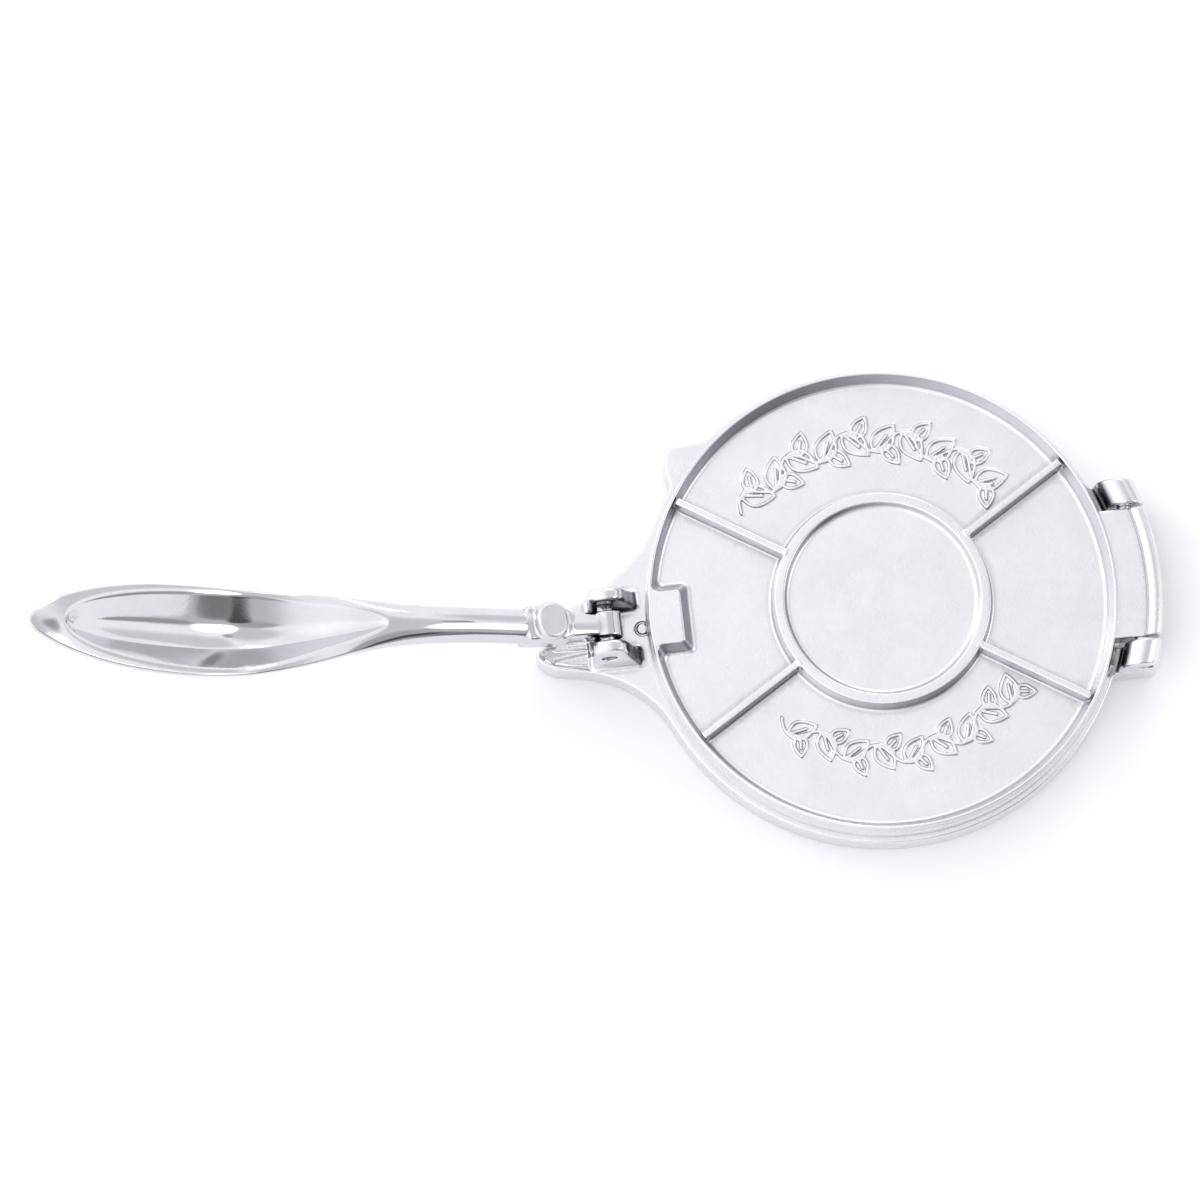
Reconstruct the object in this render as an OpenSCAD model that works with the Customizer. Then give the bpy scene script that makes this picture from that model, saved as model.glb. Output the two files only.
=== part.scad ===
// Cast tortilla press: base plate, hinged lid, swing-over lever and three pins.
// Origin on the table under the middle of the plates, +Z up.
// The lid hinge is at +X, the lever fork at -X, the lever pivots about Y.

/* [Plates] */
// Radius of the base plate
base_r = 82.6; // [81.5:0.1:84]
// Height of the pressing face of the base above the table
base_h = 12.2; // [11.6:0.1:12.3]
// Thickness of the base plate
base_floor = 3.6; // [3:0.1:5]
// Thickness of the base skirt
skirt = 3.5; // [2.5:0.1:4.5]
// Radius of the lid plate
lid_r = 80.4; // [79.8:0.1:80.8]
// Thickness of the lid plate
lid_t = 3.2; // [2.6:0.1:4]
// Height of the lid rim above its pressing face
lid_h = 9.5; // [8:0.1:9.8]
// Outer radius of the stiffening ring on the lid
ring_r = 36.7; // [30:0.1:42]
// Radial width of the stiffening ring
ring_w = 3.3; // [2.4:0.1:4.5]
// Width of the four stiffening ribs on the lid
rib_w = 2.7; // [2:0.1:4]
// Angle of the stiffening ribs from the lever line
rib_angle = 32; // [25:1:45]

/* [Lid hinge] */
// Distance of the hinge axis from the middle of the plates
hinge_x = 86; // [85.8:0.1:86.4]
// Height of the hinge axis above the table
hinge_z = 17.6; // [17.4:0.1:17.8]
// Radius of the hinge pins
hinge_pin_r = 2.3; // [1.8:0.1:2.4]
// Outer radius of the rounded lugs
lug_r = 6.3; // [6:0.1:6.5]
// Outer face of the lugs from the middle line
lug_out = 32.6; // [31:0.1:33]
// Inner face of the lugs from the middle line
lug_in = 23.6; // [23.4:0.1:24.5]
// Half width of the lid tail between the lugs
tail_y = 22.4; // [20:0.1:22.6]

/* [Lever fork] */
// Distance of the lever axis from the middle of the plates
pivot_x = -94.3; // [-94.6:0.1:-94]
// Height of the lever axis above the table
pivot_z = 22.7; // [22.4:0.1:23.2]
// Radius of the lever pin
lever_pin_r = 2.5; // [2:0.1:2.8]
// Half of the gap between the two ears
ear_in = 6.7; // [4.6:0.1:7.2]
// Thickness of each ear
ear_t = 4.4; // [3.5:0.1:5]
// Height of the ears above the table
ear_top = 31; // [29:0.1:32]

/* [Lever] */
// Angle of the lever above level where it rests on its heel
lever_rest = 23; // [20:1:26]
// Width of the lever eye between the ears
eye_w = 8.8; // [7.5:0.1:9.4]
// Radius of the lever eye
eye_r = 5.5; // [5:0.1:5.8]
// Distance of the pressing nub from the lever axis
nub_u = 22.2; // [21.8:0.1:22.6]
// Height of the nub face above the lever line
nub_w = 7.3; // [6.8:0.1:7.5]
// Largest half width of the spoon shaped grip
grip_b = 14.2; // [12:0.1:16]
// Running clearance round every pin
run = 0.05; // [0.03:0.01:0.09]

/* [Hidden] */
$fn = 96;
lid_z = 12.5;
fork_y = 0.3;
lug_ring = 89.7;
eye_y = -0.4;

// point on a cubic curve through four control points
function bez(p, t) = p[0]*pow(1-t,3) + 3*p[1]*t*pow(1-t,2) + 3*p[2]*(1-t)*t*t + p[3]*pow(t,3);
function curve(p, n) = [for (i = [0:n]) bez(p, i/n)];

// box from two corners
module box(a, b) translate(a) cube([b[0]-a[0], b[1]-a[1], b[2]-a[2]]);
// cylinder along Y from y0 to y1
module ycyl(x, z, r, y0, y1) translate([x, y0, z]) rotate([-90, 0, 0]) cylinder(r = r, h = y1 - y0);
// outline in the X-Z plane extruded along Y
module xz(pts, y0, y1) translate([0, y1, 0]) rotate([90, 0, 0]) linear_extrude(y1 - y0) polygon(pts);

// neck and tongue of the base, seen from above
module neck_outline() polygon(concat(
    curve([[-74, 36], [-78, 27], [-85, 19], [-99.5, 11.6]], 12),
    curve([[-104, 10.4], [-109.2, 8.8], [-107.2, 2], [-109.6, -0.4]], 8),
    curve([[-110, -0.6], [-112.4, -1.7], [-118.4, -3.2], [-118.8, -5.4]], 8),
    curve([[-118.8, -5.8], [-118.6, -7.6], [-115.6, -10.6], [-111, -11.5]], 8),
    curve([[-110, -11.7], [-107, -12.2], [-103, -12.8], [-99.5, -13.9]], 6),
    curve([[-98.6, -14.2], [-84, -18.8], [-78, -28], [-68, -44]], 12),
    [[-60, -40], [-60, 40]]));

// small corner tab on the rim of the base, seen from above
module tab_outline() polygon(concat(
    [[-44, 60], [-44.5, 68.6]],
    curve([[-48.4, 65.2], [-54, 61.6], [-58, 63], [-63, 62.5]], 8),
    curve([[-66, 62.2], [-68.2, 60.6], [-68.4, 57.6], [-68, 53]], 8),
    curve([[-67, 48.6], [-67, 44.6], [-70.4, 40.4], [-73.6, 35.6]], 8),
    [[-60, 30]]));

module base_skirt_floor() {
    difference() {
        union() {
            cylinder(r = base_r, h = base_h, $fn = 180);
            linear_extrude(base_h) neck_outline();
            linear_extrude(base_h) tab_outline();
            // arms that carry the hinge lugs
            for (s = [-1, 1]) mirror([0, s < 0 ? 1 : 0, 0]) intersection() {
                cylinder(r = lug_ring + lug_r, h = base_h, $fn = 180);
                box([60, lug_in, 0], [110, lug_out, base_h]);
            }
        }
        // hollow under the plate, split by two crossing ribs
        difference() {
            translate([0, 0, -1]) cylinder(r = base_r - skirt, h = base_h - base_floor + 1, $fn = 180);
            box([-90, -1.6, -2], [90, 1.6, base_h]);
            box([-1.6, -90, -2], [1.6, 90, base_h]);
            box([60, -lug_out - 1, -2], [90, -lug_in + 1, base_h]);
            box([60, lug_in - 1, -2], [90, lug_out + 1, base_h]);
        }
        // hollow under the neck
        translate([0, 0, -1]) linear_extrude(base_h - base_floor + 1)
            polygon([[-85, 12], [-92, 11], [-99, 7], [-104, 1], [-111, -4], [-111, -7], [-106, -9], [-92, -11], [-85, -14]]);
        // room for the tail of the lid as it swings open
        ycyl(hinge_x, hinge_z, 11.3, -lug_in, lug_in);
    }
}

module ear(y0, y1) xz(concat([[pivot_x - 5.1, base_h - 1], [pivot_x - 5.1, ear_top - 3]],
    curve([[pivot_x - 5.1, ear_top - 3], [pivot_x - 4.6, ear_top - 0.4], [pivot_x - 2, ear_top], [pivot_x, ear_top]], 6),
    curve([[pivot_x, ear_top], [pivot_x + 6.6, ear_top], [pivot_x + 7, ear_top - 6], [pivot_x + 8.4, ear_top - 10.5]], 8),
    [[pivot_x + 11.8, base_h - 1]]), y0, y1);

// hinge lug: a half round bent along the rim of the plates
module lug(y0, y1) intersection() {
    rotate_extrude($fn = 240) polygon(concat([[lug_ring - lug_r, base_h - 1]],
        [for (a = [180:-15:0]) [lug_ring + lug_r*cos(a), hinge_z + lug_r*sin(a)]],
        [[lug_ring + lug_r, base_h - 1]]));
    box([60, y0, 0], [110, y1, 40]);
}

module base() color("silver") difference() {
    union() {
        base_skirt_floor();
        // fork for the lever
        ear(fork_y + ear_in, fork_y + ear_in + ear_t);
        ear(fork_y - ear_in - ear_t, fork_y - ear_in);
        // lugs for the lid
        lug(lug_in, lug_out);
        lug(-lug_out, -lug_in);
    }
    // round casting mark in front of the fork
    translate([-81.9, 0, base_h - 0.3]) difference() {
        cylinder(r = 2.4, h = 1);
        translate([0, 0, -1]) cylinder(r = 1.9, h = 3);
    }
    // tray with a sunken wedge in the tongue
    translate([0, 0, base_h - 0.9]) linear_extrude(3)
        polygon([[-101, -3], [-107, -2.8], [-112, -3.8], [-115, -5.4], [-115.4, -6.8], [-113, -9.4], [-107.5, -10.6], [-101, -11.8]]);
    translate([0, 0, base_h - 2]) linear_extrude(3) polygon([[-101.3, -6.4], [-101.3, -10.9], [-107, -10.1], [-112.6, -8.6], [-107, -7]]);
    // seats of the pins
    ycyl(pivot_x, pivot_z, lever_pin_r, fork_y - 20, fork_y + 20);
    ycyl(hinge_x, hinge_z, hinge_pin_r, -40, 40);
}

module lid_body() {
    cylinder(r = lid_r, h = lid_t, $fn = 180);
    // rim with a sloped inner wall
    rotate_extrude($fn = 180) polygon([[74.8, 1], [74.8, lid_t], [76.2, lid_t + 0.7], [78.7, lid_h], [79.6, lid_h], [80.2, 1]]);
    // stiffening ring
    rotate_extrude($fn = 120) polygon([[ring_r - ring_w - 1.6, 1], [ring_r - ring_w - 0.6, lid_t + 4], [ring_r - ring_w, lid_h],
        [ring_r, lid_h], [ring_r + 0.8, 1]]);
    // raised middle inside the ring
    cylinder(r = 30.8, h = lid_h - 2.5, $fn = 120);
    rotate_extrude($fn = 120) polygon([[30, 1], [30, lid_h - 2.5], [30.8, lid_h - 2.5], [32.4, lid_h - 4.6], [32.4, 1]]);
    for (a = [rib_angle, 180 - rib_angle, 180 + rib_angle, 360 - rib_angle]) rotate([0, 0, a])
        box([ring_r - 1, -rib_w/2, 1], [77.4, rib_w/2, lid_h - 0.2]);
    // pad that the nub of the lever bears on, level with the rim
    intersection() {
        xz([[-84, 1], [-64.7, 1], [-65, lid_t], [-68, lid_h], [-84, lid_h]], -14, 16);
        rotate([0, 0, 90]) xz([[-10.6, 1], [13.4, 1], [13.2, lid_t], [10.2, lid_h], [-8.2, lid_h], [-10.4, lid_t]], 60, 84);
        cylinder(r = 79.6, h = 20, $fn = 180);
    }
    // tail with the rounded end bar
    intersection() {
        difference() {
            cylinder(r = 90, h = lid_h - 1, $fn = 180);
            translate([0, 0, -1]) cylinder(r = 78, h = 20, $fn = 180);
        }
        box([60, -tail_y, -1], [100, tail_y, 20]);
    }
    intersection() {
        rotate_extrude($fn = 240) polygon([[80, 0], [80, lid_h - 1], [90, lid_h - 1], [90.6, lid_h - 0.4], [92.5, lid_h],
            [94.3, lid_h - 0.7], [95.3, lid_h - 2.6], [95.3, 1], [94.4, 0]]);
        box([80, -tail_y, -1], [100, tail_y, 20]);
    }
}

module lid() color("gainsboro") difference() {
    translate([0, 0, lid_z]) lid_body();
    // running bores for the hinge pins
    ycyl(hinge_x, hinge_z, hinge_pin_r + run, 10.4, 40);
    ycyl(hinge_x, hinge_z, hinge_pin_r + run, -40, -10.4);
}

// side view of the lever: u along it, w square to it, pivot at 0,0
lever_top = concat([[0, 4], [14, 4]], [[14, 4], [25, 3.6], [30, 3.8]],
    curve([[30, 3.8], [42, 6.2], [56, 8.4], [78, 8]], 8),
    curve([[78, 8], [100, 6], [104, -5.4], [124, -4.8]], 10),
    curve([[124, -4.8], [146, -3.6], [176, 8.4], [204, 14.6]], 10));
lever_under = concat([[206, 13]],
    curve([[205.4, 11.6], [188, 6], [176, -14], [140, -16.4]], 10),
    curve([[140, -16.4], [112, -18], [104, -4.4], [72, -3.8]], 10),
    [[52, -4], [31, -7.4], [27, -8], [14, -6.6], [5, -4.6], [0, -4.6]]);
// half width of the lever seen from above
lever_b = concat([[0, eye_w/2 - 0.4], [6, eye_w/2 - 0.3], [13, eye_w/2 + 0.3], [15.5, 5.4], [18.5, 6], [24, 6.1], [30, 5.8], [52, 5.7], [66, 6], [78, 6.9]],
    curve([[78, 6.9], [96, 9.4], [112, grip_b + 0.4], [143, grip_b + 0.4]], 10),
    curve([[146, grip_b + 0.4], [172, grip_b], [192, 10], [203.6, 4]], 10),
    [[205.4, 2.2], [206, 0]]);
hollow_b = concat(curve([[82, 0], [82.4, 4.2], [100, 6.2], [112, 9.4]], 8),
    curve([[112, 9.4], [122, 12.2], [134, grip_b - 2], [144, grip_b - 2]], 8),
    curve([[144, grip_b - 2], [164, grip_b - 2.2], [192, 8.6], [194, 0]], 10));

module lever_side(pts, b) xz([for (p = pts) [-p[0], p[1]]], -b, b);
module lever_plan(half) translate([0, 0, -30]) linear_extrude(60)
    polygon(concat([for (p = half) [-p[0], p[1]]], [for (i = [len(half)-1:-1:0]) [-half[i][0], -half[i][1]]]));

module lever_line() {
    difference() {
        union() {
            intersection() {
                lever_side(concat(lever_top, lever_under), 20);
                lever_plan(lever_b);
            }
            ycyl(0, 0, eye_r, eye_y - eye_w/2, eye_y + eye_w/2);
            // nub that bears on the lid
            intersection() {
                lever_side([[nub_u - 5.8, 3], [nub_u - 4.4, nub_w], [nub_u + 4.4, nub_w], [nub_u + 5.8, 3]], 8);
                translate([-nub_u, 0.3, 0]) cylinder(r = 6, h = 20);
            }
            // heel that rests on the base between the ears
            rotate([0, -lever_rest, 0]) xz([[-4.6, base_h + 0.2 - pivot_z], [-4.6, 1], [-0.4, 1], [-0.4, base_h + 0.2 - pivot_z]], eye_y - eye_w/2, eye_y + eye_w/2);
        }
        // hollow of the grip
        intersection() {
            lever_side(concat([[80, 30], [80, 8]],
                curve([[81, 7.6], [90, 3], [104, -9.8], [124, -11]], 10),
                curve([[124, -11], [148, -12], [174, 0], [194, 12.6]], 10), [[196, 30]]), 20);
            lever_plan(hollow_b);
        }
        ycyl(0, 0, lever_pin_r + run, -20, 20);
    }
}

module lever() color("lightgray") translate([pivot_x, fork_y, pivot_z]) rotate([0, lever_rest, 0]) lever_line();

module lever_pin() color("gray") ycyl(pivot_x, pivot_z, lever_pin_r, fork_y - ear_in - ear_t, fork_y + ear_in + ear_t);
module hinge_pin_left() color("gray") ycyl(hinge_x, hinge_z, hinge_pin_r, 10.9, lug_out);
module hinge_pin_right() color("gray") ycyl(hinge_x, hinge_z, hinge_pin_r, -lug_out, -10.9);

base();
lid();
lever();
lever_pin();
hinge_pin_left();
hinge_pin_right();
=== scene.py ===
import bpy
import math
import numpy as np
from mathutils import Matrix, Vector


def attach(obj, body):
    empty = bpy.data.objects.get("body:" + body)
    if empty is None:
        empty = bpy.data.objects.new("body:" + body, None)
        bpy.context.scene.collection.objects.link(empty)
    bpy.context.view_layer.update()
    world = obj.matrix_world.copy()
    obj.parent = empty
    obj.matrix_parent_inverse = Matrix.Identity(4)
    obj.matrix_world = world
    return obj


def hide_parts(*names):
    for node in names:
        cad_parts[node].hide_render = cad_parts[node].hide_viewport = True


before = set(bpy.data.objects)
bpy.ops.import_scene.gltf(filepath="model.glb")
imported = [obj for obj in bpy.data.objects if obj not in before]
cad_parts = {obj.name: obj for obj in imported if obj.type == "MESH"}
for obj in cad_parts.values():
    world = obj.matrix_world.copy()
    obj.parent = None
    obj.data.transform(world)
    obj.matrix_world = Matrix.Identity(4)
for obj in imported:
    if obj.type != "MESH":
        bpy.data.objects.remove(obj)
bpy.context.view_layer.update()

# ---------------------------------------------------------------- solid fields
# Every casting is a signed field in millimetres (negative inside), so that the
# edges and corners get the real round-overs and fillets of a sand casting.

def hyp(a, b):
    return np.sqrt(a * a + b * b)


def both(a, b, r=0.0):
    """Intersection with a round convex edge of radius r."""
    if r <= 0:
        return np.maximum(a, b)
    return np.minimum(-r, np.maximum(a, b)) + hyp(np.maximum(a + r, 0), np.maximum(b + r, 0))


def join(a, b, r=0.0):
    """Union with a fillet of radius r."""
    if r <= 0:
        return np.minimum(a, b)
    return np.maximum(r, np.minimum(a, b)) - hyp(np.maximum(r - a, 0), np.maximum(r - b, 0))


def cut(a, b, r=0.0):
    return both(a, -b, r)


def slab(t, lo, hi):
    return np.abs(t - (lo + hi) / 2) - (hi - lo) / 2


def rect(x, y, x0, x1, y0, y1, r=0.0):
    """Rectangle with corner radius r."""
    qx, qy = slab(x, x0, x1) + r, slab(y, y0, y1) + r
    return hyp(np.maximum(qx, 0), np.maximum(qy, 0)) + np.minimum(np.maximum(qx, qy), 0) - r


def poly(x, y, pts):
    """Distance to a closed outline."""
    x, y = np.broadcast_arrays(x, y)
    d = np.full(x.shape, 1e9, x.dtype)
    s = np.ones(x.shape, x.dtype)
    n = len(pts)
    for i in range(n):
        (ax, ay), (bx, by) = pts[i], pts[i - 1]
        ex, ey = bx - ax, by - ay
        L = ex * ex + ey * ey
        if L < 1e-9:
            continue
        wx, wy = x - ax, y - ay
        t = np.clip((wx * ex + wy * ey) / L, 0, 1)
        d = np.minimum(d, (wx - ex * t) ** 2 + (wy - ey * t) ** 2)
        c1, c2, c3 = y >= ay, y < by, ex * wy > ey * wx
        s = np.where((c1 & c2 & c3) | ~(c1 | c2 | c3), -s, s)
    return s * np.sqrt(d)


def bez(p, n):
    t = np.linspace(0, 1, n + 1)[:, None]
    p = np.array(p, float)
    q = p[0] * (1 - t) ** 3 + 3 * p[1] * t * (1 - t) ** 2 + 3 * p[2] * (1 - t) * t * t + p[3] * t ** 3
    return [tuple(v) for v in q]


def table_fn(pairs, soft=3.0, lo=-20.0, hi=230.0):
    """A smooth curve through given points: linear, then softened."""
    t = np.arange(lo, hi, 0.25)
    k = np.array(pairs, float)
    v = np.interp(t, k[:, 0], k[:, 1])
    m = int(soft * 4 * 3)
    g = np.exp(-0.5 * (np.arange(-m, m + 1) / (soft * 4)) ** 2)
    g /= g.sum()
    v = np.convolve(np.pad(v, m, mode="edge"), g, mode="valid")
    return lambda u: np.interp(u, t, v).astype(u.dtype)


def steps(*parts):
    """Grid lines: (start, end, spacing), joined end to end."""
    out = [parts[0][0]]
    for a, b, h in parts:
        n = max(1, int(round((b - a) / h)))
        out += list(a + (b - a) * (np.arange(n) + 1) / n)
    return np.array(out, np.float64)


def gradient(f, p, e=0.12):
    g = np.empty_like(p)
    for k in range(3):
        q = p.copy()
        q[:, k] += e
        hi = f(q[:, 0], q[:, 1], q[:, 2])
        q[:, k] -= 2 * e
        g[:, k] = (hi - f(q[:, 0], q[:, 1], q[:, 2])) / (2 * e)
    return g


def net(F, A, B, C, wrap=False):
    """Surface nets on a grid of lines A, B, C. Returns vertices in grid coordinates and quads."""
    if wrap:
        F = np.concatenate([F, F[:, :1]], axis=1)
        B = np.append(B, B[0] + 2 * math.pi)
    S = F < 0
    n = [s - 1 for s in F.shape]
    cnt = np.zeros(n, np.uint8)
    for i in (0, 1):
        for j in (0, 1):
            for k in (0, 1):
                cnt += S[i:n[0] + i, j:n[1] + j, k:n[2] + k]
    I, J, K = np.nonzero((cnt > 0) & (cnt < 8))
    idx = np.full(n, -1, np.int64)
    idx[I, J, K] = np.arange(len(I))
    acc = np.zeros((len(I), 3))
    num = np.zeros(len(I))
    for ax in range(3):
        for p in (0, 1):
            for q in (0, 1):
                o = [p, q]
                o.insert(ax, 0)
                a = F[I + o[0], J + o[1], K + o[2]]
                o[ax] = 1
                b = F[I + o[0], J + o[1], K + o[2]]
                hit = (a < 0) != (b < 0)
                t = np.where(hit, a / np.where(hit, a - b, 1), 0)
                o = [p, q]
                o.insert(ax, 0)
                lines = [A, B, C]
                pos = []
                for m, ind in enumerate((I, J, K)):
                    L = lines[m]
                    if m == ax:
                        pos.append(L[ind] + (L[ind + 1] - L[ind]) * t)
                    else:
                        pos.append(L[ind + o[m]])
                for m in range(3):
                    acc[:, m] += np.where(hit, pos[m], 0)
                num += hit
    V = acc / num[:, None]
    quads = []
    for ax in range(3):
        sl0 = [slice(None)] * 3
        sl1 = [slice(None)] * 3
        sl0[ax], sl1[ax] = slice(0, -1), slice(1, None)
        a, b = S[tuple(sl0)], S[tuple(sl1)]
        e = np.array(np.nonzero(a != b)).T
        flip = a[tuple(e.T)]
        o1, o2 = [m for m in range(3) if m != ax]
        if wrap and 1 in (o1, o2):
            ok = np.ones(len(e), bool)
            other = o1 if o2 == 1 else o2
            ok &= (e[:, other] > 0) & (e[:, other] < F.shape[other] - 1)
            ok &= e[:, 1] < n[1]          # the last line repeats the first
        else:
            ok = (e[:, o1] > 0) & (e[:, o1] < F.shape[o1] - 1) & (e[:, o2] > 0) & (e[:, o2] < F.shape[o2] - 1)
        e, flip = e[ok], flip[ok]
        c = []
        for d1, d2 in ((1, 1), (0, 1), (0, 0), (1, 0)):
            g = e.copy()
            g[:, o1] -= d1
            g[:, o2] -= d2
            if wrap:
                g[:, 1] %= n[1]
            c.append(idx[g[:, 0], g[:, 1], g[:, 2]])
        q = np.stack(c, 1)
        if ax == 1:
            flip = ~flip
        q[~flip] = q[~flip][:, ::-1]
        quads.append(q)
    Q = np.concatenate(quads)
    return V, Q[(Q >= 0).all(1)]


def settle(f, P, limit, rounds=3):
    """Moves points onto the surface and returns them with the surface's own normals."""
    start = P.copy()
    for _ in range(rounds):
        v = f(P[:, 0], P[:, 1], P[:, 2])
        g = gradient(f, P, 0.03)
        P = P - g * (v / np.maximum((g * g).sum(1), 0.05))[:, None]
        d = P - start
        m = np.linalg.norm(d, axis=1)
        P = start + d * np.minimum(1, limit / np.maximum(m, 1e-9))[:, None]
    g = gradient(f, P, 0.1)
    return P, g / np.maximum(np.linalg.norm(g, axis=1), 1e-9)[:, None]


def mesh_object(name, V, Q, N=None, budget=None, protect=None):
    """Object from millimetre vertices and quads or triangles, smooth, with the field's normals where they are given and
    the mesh is not thinned; a thinned mesh gets area-weighted normals.
    """
    me = bpy.data.meshes.new(name)
    me.vertices.add(len(V))
    me.vertices.foreach_set("co", (V * 0.001).astype(np.float32).ravel())
    me.loops.add(Q.size)
    me.loops.foreach_set("vertex_index", Q.astype(np.int32).ravel())
    me.polygons.add(len(Q))
    me.polygons.foreach_set("loop_start", np.arange(0, Q.size, Q.shape[1], dtype=np.int32))
    me.update(calc_edges=True)
    me.validate()
    ob = bpy.data.objects.new(name, me)
    bpy.context.scene.collection.objects.link(ob)
    tris = Q.shape[0] * (2 if Q.shape[1] == 4 else 1)
    if budget and tris > budget:
        for p in me.polygons:
            p.use_smooth = True
        dec = ob.modifiers.new("thin", "DECIMATE")
        dec.ratio = budget / tris
        dec.use_collapse_triangulate = True
        bpy.context.view_layer.objects.active = ob
        bpy.ops.object.modifier_apply(modifier="thin")
        me = ob.data
        me.shade_smooth()
        w = ob.modifiers.new("normals", "WEIGHTED_NORMAL")
        w.mode = "FACE_AREA"
        w.weight = 60
        w.keep_sharp = False
        bpy.ops.object.modifier_apply(modifier="normals")
    else:
        me.shade_smooth()
        if N is not None:
            me.normals_split_custom_set_from_vertices([tuple(v) for v in N])
    return ob


# ---------------------------------------------------------------- sizes, mm
BASE_R, BASE_H = 82.6, 12.2
HX, HZ = 86.0, 17.6                     # lid hinge axis
PX, PY, PZ = -94.3, 0.3, 22.7           # lever axis
REST = math.radians(23)
LID0, PLATE, TOP = 12.5, 15.7, 22.0     # pressing face, dish floor, rim

# ---------------------------------------------------------------- base casting
NECK = ([(-62, 40)] + bez([[-70, 43], [-75.5, 30], [-84, 21.5], [-99.5, 11.6]], 14)
        + bez([[-104, 10.4], [-109.2, 8.8], [-107.2, 2], [-109.6, -0.4]], 10)
        + bez([[-110, -0.6], [-112.4, -1.7], [-118.4, -3.2], [-118.8, -5.4]], 10)
        + bez([[-118.8, -5.8], [-118.6, -7.6], [-115.6, -10.6], [-111, -11.5]], 10)
        + bez([[-110, -11.7], [-107, -12.2], [-103, -12.8], [-99.5, -13.9]], 6)
        + bez([[-98.6, -14.2], [-84, -18.8], [-78, -28], [-66, -46]], 16) + [(-60, -46)])
TAB = ([(-40, 62), (-42.6, 69.9)] + bez([[-44.8, 67.7], [-51, 62.6], [-56, 62.7], [-60, 62.8]], 10)
       + bez([[-64.5, 62.8], [-68.2, 61.5], [-68.4, 57.0], [-67.9, 53]], 10)
       + bez([[-66.6, 47.4], [-66.6, 45.0], [-70.4, 39.6], [-73.2, 34.6]], 10) + [(-60, 30)])
TRAY = [(-101, -2.4), (-107, -1.5), (-110.6, -1.8), (-115.0, -3.8), (-116.9, -5.5), (-116.2, -7.4), (-113.2, -9.6), (-107.5, -11.0), (-101, -12.3)]
TROUGH1 = [(-101.2, -3.6), (-101.2, -4.9), (-112.0, -4.4), (-113.0, -3.9), (-112.0, -3.4)]
TROUGH2 = [(-101.0, -6.3), (-101.2, -10.9), (-107, -10.2), (-112.6, -8.9), (-113.2, -8.3), (-112.6, -7.8), (-107, -7.0)]


EAR = ([(-99.5, 6), (-99.4, 27.6)] + bez([[-99.3, 28.6], [-98.9, 29.6], [-98.0, 30.1], [-97.2, 30.4]], 8)
       + bez([[-96.8, 30.55], [-94.6, 31.1], [-92.6, 31.0], [-90.8, 30.2]], 12)
       + bez([[-90.2, 29.9], [-88.0, 28.4], [-87.0, 24.0], [-86.0, 20.5]], 14) + [(-82.8, 11.4), (-82.0, 6)])
LUG_R = 89.7


def f_base(x, y, z):
    rho = hyp(x, y)
    plan = join(rho - BASE_R, poly(x, y, NECK), 1.5)
    plan = join(plan, poly(x, y, TAB), 1.5)
    ay = np.abs(y)
    arm = both(both(rho - (LUG_R + 6.3), slab(ay, 23.6, 32.6), 0.9), 60 - x, 0)
    plan = join(plan, arm, 1.6)
    f = both(plan + (BASE_H - z) * -0.02, slab(z, 0, BASE_H), 0.75)
    # hollow under the plate, with the crossing ribs and the solid arms left standing
    hol = both(rho - 79.1, z - 8.6, 1.6)
    hol = both(hol, 1.6 - np.abs(x), 1.0)
    hol = both(hol, 1.6 - ay, 1.0)
    hol = both(hol, -rect(x, ay, 60, 100, 22.6, 33.4, 0.5), 1.0)
    f = cut(f, hol, 0.5)
    hol = both(both(poly(x, y, NECK) + 3.5, BASE_R - 0.2 - rho, 1.0), z - 8.6, 1.2)
    f = cut(f, hol, 0.5)
    # room for the tail of the lid
    rel = both(hyp(x - HX, z - HZ) - 11.3, ay - 23.6, 0.6)
    f = cut(f, rel, 0.6)
    # fork ears
    yy = np.abs(y - PY)
    ear = both(poly(x, z, EAR), np.maximum(yy - 11.1 - (31 - z) * 0.095, 6.7 - yy) * 0.995, 1.3)
    f = join(f, ear, 1.7)
    # hinge lugs, bent along the rim
    lp = np.minimum(hyp(rho - LUG_R, z - HZ) - 6.3, np.maximum(np.abs(rho - LUG_R) - 6.3, slab(z, 1, HZ)))
    lug = both(both(lp, slab(ay, 23.6, 32.6), 0.8), 60 - x, 0)
    f = join(f, lug, 1.0)
    # seats of the pins, with a fine broken edge
    f = cut(f, hyp(x - PX, z - PZ) - 2.62, 0.25)
    f = cut(f, both(hyp(x - HX, z - HZ) - 2.42, 21 - ay, 0), 0.25)
    # tray and troughs of the tongue
    tray = both(poly(x, y, TRAY), (BASE_H - 0.9) - z, 0.8)
    f = cut(f, tray, 0.8)
    tr = np.minimum(poly(x, y, TROUGH1), poly(x, y, TROUGH2))
    f = cut(f, both(tr, (BASE_H - 1.7) - z, 0.9), 0.9)
    # round casting mark before the fork
    mark = both(np.abs(hyp(x + 81.9, y) - 2.2) - 0.42, (BASE_H - 0.6) - z, 0.2)
    f = cut(f, mark, 0.12)
    return f


# ---------------------------------------------------------------- lid casting
RIB = math.radians(32)


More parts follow.
